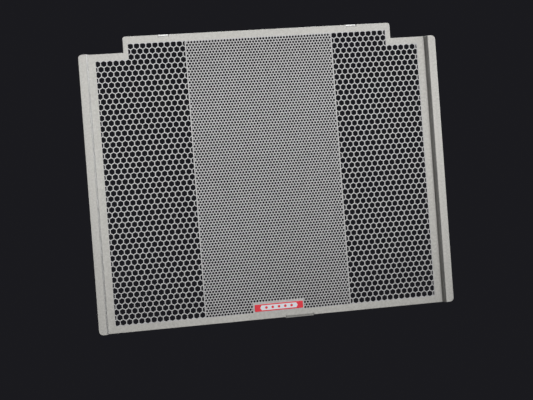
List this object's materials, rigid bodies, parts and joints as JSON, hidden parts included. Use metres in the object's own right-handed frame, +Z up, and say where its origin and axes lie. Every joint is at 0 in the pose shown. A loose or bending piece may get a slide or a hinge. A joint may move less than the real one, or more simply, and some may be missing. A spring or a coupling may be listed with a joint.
{
  "type": "motorcycle radiator guard",
  "caption": "Thin perforated stainless guard for a motorcycle radiator, with fine and coarse hexagon fields, stepped side flanges and small rear hooks.",
  "frame": {"origin": "middle of the panel's back face, half way between its shoulders and its bottom edge", "axes": "+X to the right seen from the front, +Y to the rear, into the radiator, +Z up; the front with the badge faces -Y"},
  "size_m": [0.3594, 0.0155, 0.2865],
  "materials": {
    "stainless": "satin, fine grain",
    "badge": "gloss"
  },
  "bodies": {
    "root": {"guard_sheet": "stainless", "badge_plate": "badge"}
  },
  "joints": []
}
